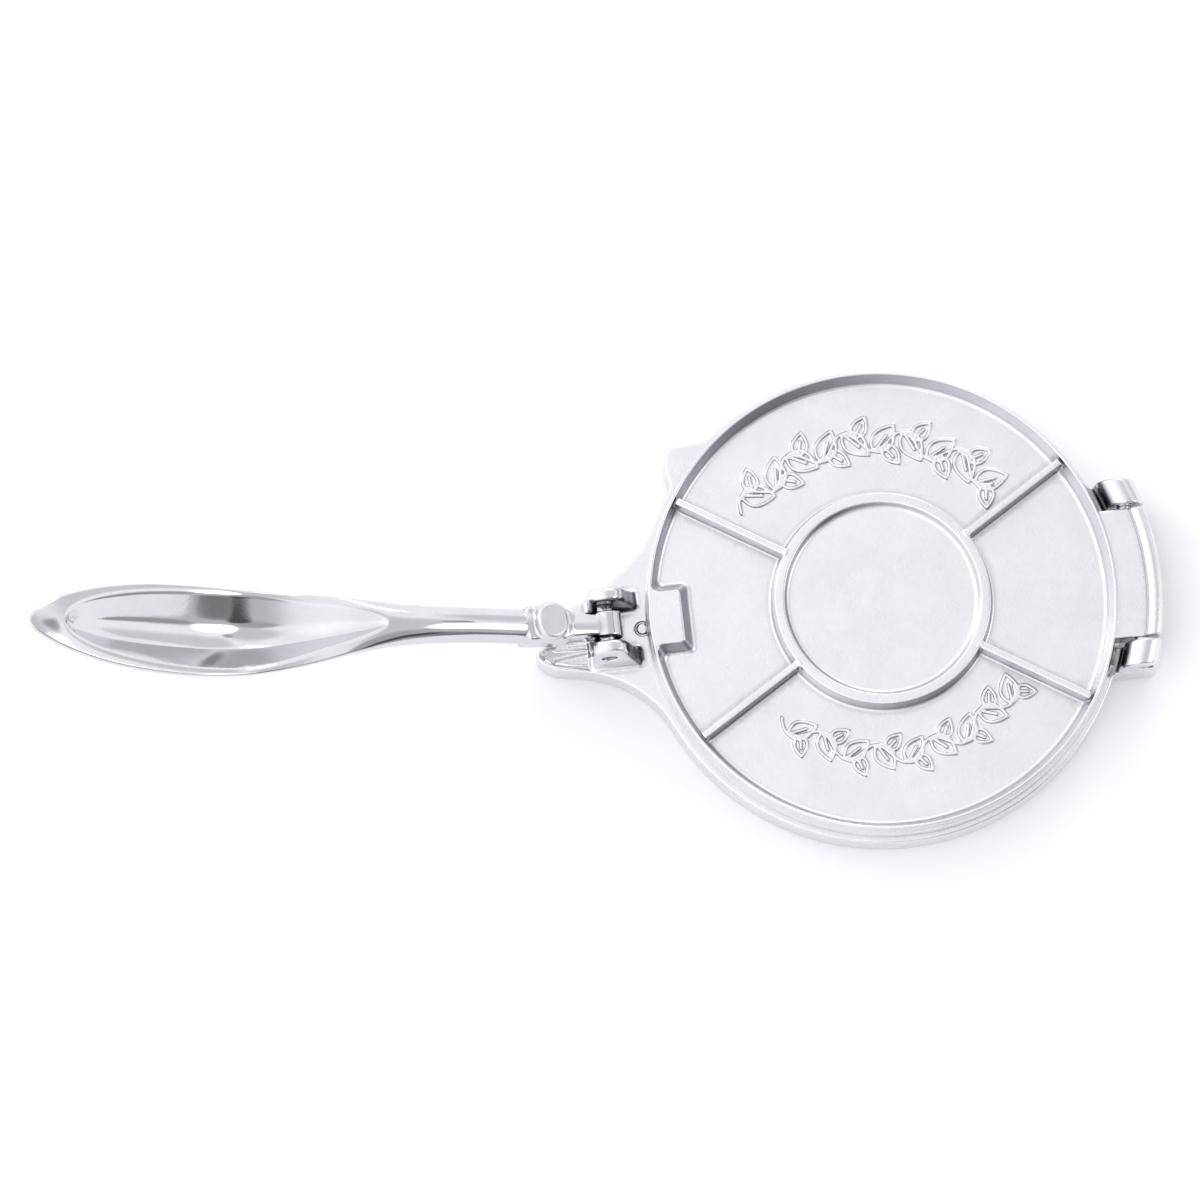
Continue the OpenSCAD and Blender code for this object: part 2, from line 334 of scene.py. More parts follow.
def lid_shape(relief):
    def f_lid(x, y, z):
        rho = hyp(x, y)
        circ = (rho - (80.35 - (z - LID0) * 0.079)) * 0.997
        plate = both(circ, slab(z, LID0, PLATE), 0.45)
        w = 1.0 + (TOP - z) * 0.38
        # sloped inner wall of the rim, led round the pad under the nub of the lever
        k = (TOP - z) * 0.46
        dish = both((circ + w) * 0.935, -0.91 * rect(x, y, -95, -68.2 + k, -8.1 - k * 0.8, 10.1 + k * 1.05, 1.6), 2.6)
        rim = both(both(circ, -dish, 0.35), slab(z, LID0 + 0.6, TOP), 0.32)
        f = join(plate, rim, 1.15)
        # ring and raised middle
        ring = both((rho - 36.7 - (TOP - z) * 0.14) * 0.99, (33.4 - (TOP - z) * 0.45 - rho) * 0.91, 0.3)
        ring = both(ring, slab(z, LID0 + 0.6, TOP), 0.35)
        mid = both(rho - 34.5, slab(z, LID0 + 0.6, TOP - 2.5), 0.0)
        f = join(f, join(ring, mid, 0.9), 1.0)
        # ribs
        for s in (-1, 1):
            for a in (RIB, math.pi - RIB):
                ca, sa = math.cos(a * s), math.sin(a * s)
                u, v = x * ca + y * sa, y * ca - x * sa
                rib = both(np.abs(v) - 1.2 - (TOP - z) * 0.07, z - (TOP - 0.25), 0.4)
                rib = both(rib, np.maximum(36.0 - u, rho - 77.6), 0.3)
                f = join(f, both(rib, LID0 + 0.6 - z, 0), 0.7)
        # tail and its rounded end bar
        ay = np.abs(y)
        tail = both(both(both(rho - 91.5, 78.7 - rho, 0.0), -x, 0.0), slab(z, LID0, TOP - 0.85), 0.5)
        bar = join(hyp(rho - 92.5, z - 19.6) - 2.8, both(np.abs(rho - 92.5) - 2.8, slab(z, LID0 + 1, 19.6), 0.0), 0.0)
        bar = join(bar, both(np.abs(rho - 92.5) - 2.8, slab(z, LID0, 16), 1.2), 0.0)
        groove = hyp(rho - 90.0, z - (TOP - 0.75)) - 0.42
        tail = cut(tail, groove, 0.15)
        tail = both(join(tail, both(bar, -x, 0), 0.0), ay - 22.4, 0.55)
        f = join(f, tail, 0.35)
        f = cut(f, both(hyp(x - HX, z - HZ) - 2.42, 10.4 - ay, 0), 0.2)
        # raised ornament on the dish floor
        if relief is not None:
            f = join(f, both(relief(x, y), slab(z, PLATE - 1, PLATE + 0.75), 0.35), 0.35)
        return f
    return f_lid


def sampled(fn, x0, x1, y0, y1, h, far):
    """A flat field sampled on a fine grid, read back smoothly; far outside it."""
    xs, ys = np.arange(x0, x1 + h, h), np.arange(y0, y1 + h, h)
    G = fn(xs[:, None], ys[None, :]).astype(np.float32)

    def read(x, y):
        x, y = np.broadcast_arrays(x, y)
        i, j = (x - x0) / h, (y - y0) / h
        ok = (i >= 0) & (j >= 0) & (i < len(xs) - 1.01) & (j < len(ys) - 1.01)
        i, j = np.where(ok, i, 0), np.where(ok, j, 0)
        a, b = i.astype(int), j.astype(int)
        s, t = i - a, j - b
        v = (G[a, b] * (1 - s) * (1 - t) + G[a + 1, b] * s * (1 - t) + G[a, b + 1] * (1 - s) * t + G[a + 1, b + 1] * s * t)
        return np.where(ok, v, far)
    return read


def stroke_field(lines, reach=3.0):
    """Distance to a set of open lines, in mm."""
    def fn(x, y):
        x, y = np.broadcast_arrays(x, y)
        d = np.full(x.shape, reach * reach)
        xs, ys = x[:, 0], y[0]
        for pts in lines:
            for (ax, ay), (bx, by) in zip(pts[:-1], pts[1:]):
                i0, i1 = np.searchsorted(xs, (min(ax, bx) - reach, max(ax, bx) + reach))
                j0, j1 = np.searchsorted(ys, (min(ay, by) - reach, max(ay, by) + reach))
                if i0 >= i1 or j0 >= j1:
                    continue
                X, Y = x[i0:i1, j0:j1], y[i0:i1, j0:j1]
                ex, ey = bx - ax, by - ay
                L = max(ex * ex + ey * ey, 1e-9)
                t = np.clip(((X - ax) * ex + (Y - ay) * ey) / L, 0, 1)
                d[i0:i1, j0:j1] = np.minimum(d[i0:i1, j0:j1], (X - ax - ex * t) ** 2 + (Y - ay - ey * t) ** 2)
        return np.sqrt(d)
    return fn


def garland(mid, span, r0, r1, n):
    """A waving stem with outlined leaves on an arc of the lid, as open lines."""
    rm, amp = (r0 + r1) / 2, (r1 - r0) * 0.16
    lines = []

    def at(t, off=0.0):
        a = mid + span * (t - 0.5)
        r = rm + amp * math.sin(t * n * math.pi) + off
        return np.array((r * math.cos(a), r * math.sin(a)))
    ts = np.linspace(0.0, 1.0, 16 * n)
    lines.append([tuple(at(t)) for t in ts])
    for i in range(n):
        t0 = (i + 0.5) / n
        side = 1 if i % 2 else -1
        p = at(t0)
        e = at(min(t0 + 0.01, 1)) - at(max(t0 - 0.01, 0))
        e /= np.linalg.norm(e)
        out = p / np.linalg.norm(p)
        for s2, size in ((side, 1.0), (-side, 0.72)):
            base = at(t0 + (0.0 if s2 == side else 0.35 / n))
            d = e * 0.62 * (1 if span > 0 else 1) + out * s2 * 0.78
            d /= np.linalg.norm(d)
            q = np.array((-d[1], d[0]))
            L, W = (r1 - r0) * 0.50 * size, (r1 - r0) * 0.155 * size
            for w in (1, -1):
                lines.append([tuple(base + d * (L * k) + q * (w * W * math.sin(math.pi * k ** 0.8) ** 0.9)) for k in np.linspace(0, 1, 15)])
            lines.append([tuple(base + d * (L * k)) for k in np.linspace(0.0, 0.62, 3)])
    return lines


# ---------------------------------------------------------------- lever casting
# u runs along the lever from its axis, v across it, w square to both.
# Half width, upper and lower height of the outside over the root of the distance to
# the tip, so that the tip closes as a smooth round point.
TIP = 206.2
KB = table_fn([(20, .425), (30, .437), (52, .475), (65, .530), (78, .627), (92, .861), (108, 1.221), (125.5, 1.59), (143.5, 1.92), (162, 2.21), (180, 2.42), (195, 2.45), (202, 2.25), (206, 2.15)], 3.0)
KD = table_fn([(20, .43), (30, .43), (52, .451), (70, .514), (84, .688), (96, .914), (108, 1.211), (120, 1.357), (132, 1.44), (146, 1.546), (160, 1.68), (176, 1.85), (188, 1.97), (198, 1.82), (206, 1.5)], 4.0)
KU = table_fn([(20, .40), (30, .40), (52, .459), (65, .48), (78, .433), (88, .34), (98, .25), (110, .163), (130, .149), (160, .191), (180, .28), (194, .40), (206, .5)], 4.0)
RIM_W = table_fn([(20, -1.5), (30, -1.4), (40, 0.2), (52, 1.8), (65, 2.7), (78, 3.0), (88, 2.6), (96, 1.0), (104, -1.8), (112, -4.0), (121, -5.4), (130, -5.3), (143, -2.9), (155, 0.7), (167, 4.3), (180, 8.0), (194, 12.4), (206, 14.6), (212, 15.0)], 3.0)
# The hollow of the grip closes the same way at both of its ends.
H0, H1 = 82.0, 193.5
OB = table_fn([(80, .163), (87, .165), (103, .176), (108, .186), (119, .215), (132, .227), (144, .228), (159, .229), (178, .236), (187, .24), (195, .24)], 3.0)
OD = table_fn([(80, .15), (92, .165), (103, .19), (115, .204), (130, .200), (146, .195), (160, .190), (176, .188), (195, .186)], 3.0)


def f_lever(u, v, w):
    wm = RIM_W(u)
    tilt = (RIM_W(u + 0.5) - RIM_W(u - 0.5))
    p = w - wm
    kb, kh = KB(u), np.where(p > 0, KU(u), KD(u))
    k = np.clip((u - 76) / 30, 0, 1)
    def oval(kh, n):
        av, aw = np.abs(v) / kb + 1e-4, np.abs(p) / kh + 1e-4
        S = (av ** n + aw ** n) ** (1 / n)
        sv, sw = (av / S) ** (n - 1) / kb, (aw / S) ** (n - 1) / kh
        E = S * S - (TIP - u)
        return E / np.sqrt(4 * S * S * (sv * sv + sw * sw) + (1 - np.sign(p) * tilt * 2 * S * sw) ** 2)

    # round neck, and a grip with a crowned rim of small radius
    neck = oval(kh, np.where(p > 0, 2.05 + 0.6 * k, 2.05 + 0.1 * k))
    root = np.sqrt(np.maximum(TIP - u, 0.5))
    crown = (p - KU(u) * root * (1 - 0.45 * np.minimum(np.abs(v) / (kb * root), 1.1) ** 2)) * 0.98
    grip = both(oval(KD(u), 2.05 + 0.1 * k), crown, 0.7)
    m = np.clip((u - 84) / 16, 0, 1)
    body = both(neck + (grip - neck) * m * m * (3 - 2 * m), 27.5 - u, 1.2)
    # hollow of the grip
    ob, od = 1.09 * OB(u), 0.85 * OD(u)
    p = w - wm - KU(u) * np.sqrt(np.maximum(TIP - u, 0.5))
    q = (u - H0) * (H1 - u)
    r = np.sqrt(np.maximum(q, 9.0))
    t = np.maximum(-p / (od * r), 0.0) + 1e-4
    # straight walls that meet a shallow floor
    x = v / (ob * r)
    root = np.sqrt((1.231 * t) ** 2 + 3.69 * x * x) + 1e-4
    wall, flat = np.abs(x) + 0.914 * t, (1.231 * t + root) / 2
    s = np.sqrt((wall - flat) ** 2 + 0.0025)
    k, g = (1 + (wall - flat) / s) / 2, (wall + flat + s) / 2
    E = g * g - np.where(q > 9.0, 1.0, q / 9.0)
    gv = 2 * g * (k + (1 - k) * 1.846 * np.abs(x) / root) / (ob * r)
    gw = 2 * g * (k * 0.914 + (1 - k) * 0.6155 * (1 + 1.231 * t / root)) / (od * r)
    gu = (2 * u - H0 - H1) / (r * r) + tilt * gw
    hol = E / np.sqrt(gv * gv + gw * gw + gu * gu + 1e-4)
    body = cut(body, hol, 0.75)
    # block with the nub
    av = np.abs(v)
    blk = both(both(slab(u, 13.8, 30.4), av - 6.0 + np.clip(17 - u, 0, 4) * 0.55, 1.3), slab(w, -7.6 + np.clip(20 - u, 0, 8) * 0.35, 3.9), 1.3)
    f = join(body, blk, 0.9)
    nub = (((np.abs(u - 22.2) / (5.2 + (7.3 - w) * 0.18)) ** 2.3 + (np.abs(v - 0.3) / (6.2 + (7.3 - w) * 0.06)) ** 2.3) ** (1 / 2.3) - 1) * 5.4
    f = join(f, both(nub, np.maximum(-w, w - 7.3), 1.1), 1.0)
    # arm and eye
    ev = np.abs(v + 0.4)
    crown = 4.3 - 0.045 * v * v - 0.10 * v
    arm = both(both(slab(u, 0, 18), ev - 4.4 - np.clip(u - 8, 0, 10) * 0.08, 0.9), np.maximum(w - crown, -w - 4.6 - np.clip(u, 0, 18) * 0.12), 1.4)
    f = join(f, arm, 1.2)
    f = join(f, both(hyp(u, w) - 5.5, ev - 4.4, 0.7), 0.8)
    # heel: in the frame of the table at rest
    c, s = math.cos(REST), math.sin(REST)
    X, Z = -(u * c - w * s), u * s + w * c
    heel = both(both(slab(X, -4.6, -0.4), slab(Z, BASE_H + 0.2 - PZ, 0.5), 0.5), ev - 4.4, 0.5)
    f = join(f, heel, 0.8)
    return cut(f, hyp(u, w) - 2.6, 0.25)


def lever_points(P):
    c, s = math.cos(REST), math.sin(REST)
    u, v, w = P.T
    return np.stack([PX - (u * c - w * s), PY + v, PZ + u * s + w * c], 1)


def lever_dirs(N):
    c, s = math.cos(REST), math.sin(REST)
    u, v, w = N.T
    return np.stack([-(u * c - w * s), v, u * s + w * c], 1)


# ---------------------------------------------------------------- build the castings
def polar_body(name, f, R, T, Z, zones, budget):
    """zones: (z0, z1, mask over the angle lines) says where the field is looked at."""
    F = np.full((len(R), len(T), len(Z)), 1.0, np.float32)
    ct, st = np.cos(T).astype(np.float32), np.sin(T).astype(np.float32)
    r32 = R.astype(np.float32)
    for z0, z1, mask in zones:
        ks = np.nonzero((Z >= z0 - 1e-6) & (Z <= z1 + 1e-6))[0]
        js = np.nonzero(mask)[0]
        for part in np.array_split(js, max(1, len(js) * len(R) * len(ks) // 1500000 + 1)):
            x = r32[:, None, None] * ct[None, part, None]
            y = r32[:, None, None] * st[None, part, None]
            F[:, part[:, None], ks[None, :]] = f(x, y, Z[ks].astype(np.float32)[None, None, :])
    F[-1] = 1.0
    V, Q = net(F, R, T, Z, wrap=True)
    P = np.stack([V[:, 0] * np.cos(V[:, 1]), V[:, 0] * np.sin(V[:, 1]), V[:, 2]], 1)
    P, N = settle(f, P, 0.45)
    # close the small hole round the axis
    tri = np.concatenate([Q[:, [0, 1, 2]], Q[:, [0, 2, 3]]])
    edge = np.concatenate([tri[:, [0, 1]], tri[:, [1, 2]], tri[:, [2, 0]]])
    low, high_end = edge.min(1).astype(np.int64), edge.max(1).astype(np.int64)
    _, first, times = np.unique(low * len(P) + high_end, return_index=True, return_counts=True)
    rim = edge[first[times == 1]]
    rim = rim[(V[rim, 0] < R[1]).all(1)]
    mids = P[rim[:, 0], 2].mean()
    extra = []
    for up in (True, False):
        ends = rim[(P[rim[:, 0], 2] > mids) == up]
        k = len(P)
        P = np.vstack([P, [[0, 0, P[ends[:, 0], 2].mean()]]])
        N = np.vstack([N, [[0, 0, 1 if up else -1]]])
        extra.append(np.stack([ends[:, 1], ends[:, 0], np.full(len(ends), k)], 1))
    tris = np.concatenate(extra)
    # the shorter diagonal of each quad
    d1 = ((P[Q[:, 0]] - P[Q[:, 2]]) ** 2).sum(1)
    d2 = ((P[Q[:, 1]] - P[Q[:, 3]]) ** 2).sum(1)
    s = d2 < d1
    A = np.where(s[:, None], Q[:, [0, 1, 3]], Q[:, [0, 1, 2]])
    B = np.where(s[:, None], Q[:, [1, 2, 3]], Q[:, [0, 2, 3]])
    both_tris = np.concatenate([A, B, tris])
    area = np.linalg.norm(np.cross(P[both_tris[:, 1]] - P[both_tris[:, 0]], P[both_tris[:, 2]] - P[both_tris[:, 0]]), axis=1)
    both_tris = both_tris[area > 1e-7]
    return mesh_object(name, P, both_tris, N, budget)


def box_body(name, f, A, B, C, budget=None, move=None, turn=None):
    x, y, z = (g.astype(np.float32) for g in (A, B, C))
    F = np.empty((len(x), len(y), len(z)), np.float32)
    for part in np.array_split(np.arange(len(x)), max(1, F.size // 1500000 + 1)):
        F[part] = f(x[part][:, None, None], y[None, :, None], z[None, None, :])
    V, Q = net(F, A, B, C)
    P, N = settle(f, V, 0.4)
    if move:
        P, N = move(P), turn(N)
        Q = Q[:, ::-1]
    return mesh_object(name, P, Q, N, budget)


g = 1.0

# lever
lever = box_body(
    "lever_casting", f_lever,
    steps((-7.5, 34, 0.42 * g), (34, 186, 0.6 * g), (186, 209, 0.4 * g)),
    steps((-16.8, 16.8, 0.42 * g)), steps((-19.5, 18.5, 0.42 * g)),
    move=lever_points, turn=lever_dirs)

# lid
far = 3.0
leaf_far = sampled(stroke_field(garland(math.radians(91), math.radians(-100), 45, 68, 10), far), -60, 60, 24, 72, 0.2, far)
leaf_near = sampled(stroke_field(garland(math.radians(-88), math.radians(97), 43, 63, 9), far), -60, 60, -72, -24, 0.2, far)


def leaves(x, y):
    return np.minimum(leaf_far(x, y), leaf_near(x, y)) - 0.5


lid = polar_body(
    "lid_casting", lid_shape(leaves),
    steps((0.6, 29.4, 1.8), (29.4, 38.6, 0.32 * g), (38.6, 66, 0.42 * g), (66, 81.2, 0.34 * g), (81.2, 89, 0.8 * g), (89, 96.2, 0.3 * g)),
    np.linspace(0, 2 * math.pi, int(1080 / g), endpoint=False),
    steps((12.0, 16.2, 0.35 * g), (16.2, 20.4, 0.5 * g), (20.4, 22.9, 0.28 * g)),
    [(0, 40, np.ones(int(1080 / g), bool))], 196000)

# base
Ta = steps((-2.94, -0.42, 0.0066 * g), (-0.42, -0.22, 0.0042 * g), (-0.22, 0.22, 0.0066 * g), (0.22, 0.42, 0.0042 * g),
           (0.42, 2.94, 0.0066 * g), (2.94, 2 * math.pi - 2.94, 0.004 * g))[:-1]
wrapped = (Ta + math.pi) % (2 * math.pi) - math.pi
high = (np.abs(wrapped) > 2.93) | ((np.abs(wrapped) > 0.21) & (np.abs(wrapped) < 0.44))
base = polar_body(
    "base_casting", f_base,
    steps((0.5, 68.5, 3.4), (68.5, 77, 1.2 * g), (77, 84, 0.4 * g), (84, 119.6, 0.42 * g)),
    Ta, steps((-0.7, 2.1, 0.4 * g), (2.1, 6.9, 0.8 * g), (6.9, 13.3, 0.4 * g), (13.3, 31.9, 0.42 * g)),
    [(-1, 13.3, np.ones(len(Ta), bool)), (13.3, 33, high)], 196000)


def turned(name, profile, where, y0, segs=96):
    """A turned pin along Y from (distance along, radius) pairs."""
    V, Q = [], []
    for t, r in profile:
        for k in range(segs):
            a = 2 * math.pi * k / segs
            V.append((where[0] + r * math.sin(a), y0 + t, where[1] + r * math.cos(a)))
    m = len(profile)
    for i in range(m - 1):
        for k in range(segs):
            Q.append((i * segs + k, i * segs + (k + 1) % segs, (i + 1) * segs + (k + 1) % segs, (i + 1) * segs + k))
    me = bpy.data.meshes.new(name)
    caps = [tuple(range(segs))[::-1], tuple((m - 1) * segs + k for k in range(segs))]
    me.from_pydata([tuple(c * 0.001 for c in v) for v in V], [], Q + caps)
    me.validate()
    ob = bpy.data.objects.new(name, me)
    bpy.context.scene.collection.objects.link(ob)
    me.shade_smooth()
    e = ob.modifiers.new("edges", "EDGE_SPLIT")
    e.split_angle = math.radians(35)
    e.use_edge_angle = True
    bpy.context.view_layer.objects.active = ob
    bpy.ops.object.modifier_apply(modifier="edges")
    return ob


def pin_profile(length, r, c=0.35):
    return [(0, r - c), (c * 0.3, r - c * 0.3), (c, r), (length - c, r), (length - c * 0.3, r - c * 0.3), (length, r - c)]


pins = [
    turned("lever_pin_turned", pin_profile(22.2, 2.5), (PX, PZ), PY - 11.1),
    turned("hinge_pin_far_turned", pin_profile(21.5, 2.3), (HX, HZ), 10.9),
    turned("hinge_pin_near_turned", pin_profile(21.5, 2.3), (HX, HZ), -32.4),
]

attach(base, "base"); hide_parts("base")
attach(lid, "lid"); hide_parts("lid")
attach(lever, "lever"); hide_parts("lever")
for ob, node in zip(pins, ("lever_pin", "hinge_pin_left", "hinge_pin_right")):
    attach(ob, "base"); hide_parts(node)


# ---------------------------------------------------------------- painted shade in corners and gaps
def shade_in_corners(ob, f, back=None):
    """Stores how shut in each vertex is: 0 in the open, 1 deep in a corner or a gap; the materials paint shade from it.
    """
    me = ob.data
    n = len(me.vertices)
    P = np.empty(n * 3, np.float32)
    me.vertices.foreach_get("co", P)
    P = P.reshape(-1, 3) * 1000
    N = np.empty(n * 3, np.float32)
    me.vertices.foreach_get("normal", N)
    N = N.reshape(-1, 3)
    if back:
        P, N = back(P, N)
    total = np.zeros(n)
    for h, weight in ((0.5, 0.16), (1.1, 0.2), (2.2, 0.24), (4.0, 0.22), (7.0, 0.18)):
        q = P + N * h
        total += weight * np.clip((h - f(q[:, 0], q[:, 1], q[:, 2])) / h, 0, 1)
    at = me.attributes.new("shade_in_corners", "FLOAT", "POINT")
    at.data.foreach_set("value", total.astype(np.float32))


def near_base(x, y, z):
    """The base with the parts that shut it in: lid edge at the lugs, lever in the fork."""
    d = f_base(x, y, z)
    rho = hyp(x, y)
    edge = np.maximum(both(rho - 80.3, 12.5 - z, 0), z - 22)
    d = np.where((x > 60) & (np.abs(y) > 20) & (np.abs(y) < 35) & (rho > 80.5), np.minimum(d, edge), d)
    fork = (x < -82) & (np.abs(y) < 16) & (z > 12)
    c, s = math.cos(REST), math.sin(REST)
    X, Z = x[fork] - PX, z[fork] - PZ
    d[fork] = np.minimum(d[fork], f_lever(-X * c + Z * s, y[fork] - PY, X * s + Z * c))
    return d


def near_lever(u, v, w):
    """The lever with the two ears beside its eye."""
    d = f_lever(u, v, w)
    c, s = math.cos(REST), math.sin(REST)
    x, y, z = PX - (u * c - w * s), PY + v, PZ + u * s + w * c
    return np.where(x > -104, np.minimum(d, f_base(x, y, z)), d)


def lever_back(P, N):
    c, s = math.cos(REST), math.sin(REST)
    x, y, z = P[:, 0] - PX, P[:, 1] - PY, P[:, 2] - PZ
    a, b, d = N.T
    return (np.stack([-x * c + z * s, y, x * s + z * c], 1), np.stack([-a * c + d * s, b, a * s + d * c], 1))


# painted shade: how shut in each vertex is at the rest pose darkens its colour in the materials
shade_in_corners(lid, lid_shape(leaves))
shade_in_corners(base, near_base)
shade_in_corners(lever, near_lever, lever_back)

# ---------------------------------------------------------------- materials
class Nodes:
    def __init__(self, name):
        self.mat = bpy.data.materials.new(name)
        self.mat.use_nodes = True
        self.t = self.mat.node_tree
        self.t.nodes.clear()
        self.out = self.t.nodes.new("ShaderNodeOutputMaterial")
        self.bsdf = self.t.nodes.new("ShaderNodeBsdfPrincipled")
        self.t.links.new(self.bsdf.outputs[0], self.out.inputs[0])
        self.co = self.t.nodes.new("ShaderNodeTexCoord").outputs["Object"]

    def link(self, a, b):
        self.t.links.new(a, b)

    def noise(self, scale, detail=3.0, rough=0.55, co=None, distort=0.0):
        n = self.t.nodes.new("ShaderNodeTexNoise")
        n.inputs["Scale"].default_value = scale
        n.inputs["Detail"].default_value = detail
        n.inputs["Roughness"].default_value = rough
        n.inputs["Distortion"].default_value = distort
        self.link(co or self.co, n.inputs["Vector"])
        return n.outputs["Fac"]

    def stretch(self, sx, sy, sz):
        m = self.t.nodes.new("ShaderNodeMapping")
        m.inputs["Scale"].default_value = (sx, sy, sz)
        self.link(self.co, m.inputs["Vector"])
        return m.outputs[0]

    def span(self, v, a, b, c, d):
        m = self.t.nodes.new("ShaderNodeMapRange")
        m.inputs["From Min"].default_value = a
        m.inputs["From Max"].default_value = b
        m.inputs["To Min"].default_value = c
        m.inputs["To Max"].default_value = d
        self.link(v, m.inputs["Value"])
        return m.outputs[0]

    def math(self, op, a, b):
        m = self.t.nodes.new("ShaderNodeMath")
        m.operation = op
        for i, v in enumerate((a, b)):
            if isinstance(v, (int, float)):
                m.inputs[i].default_value = v
            else:
                self.link(v, m.inputs[i])
        return m.outputs[0]

    def ramp(self, v, stops):
        r = self.t.nodes.new("ShaderNodeValToRGB")
        el = r.color_ramp.elements
        while len(el) < len(stops):
            el.new(0.5)
        for e, (p, c) in zip(el, stops):
            e.position, e.color = p, (*c, 1)
        self.link(v, r.inputs[0])
        return r.outputs[0]

    def bump(self, h, strength, dist, after=None):
        b = self.t.nodes.new("ShaderNodeBump")
        b.inputs["Strength"].default_value = strength
        b.inputs["Distance"].default_value = dist
        self.link(h, b.inputs["Height"])
        if after is not None:
            self.link(after, b.inputs["Normal"])
        return b.outputs[0]


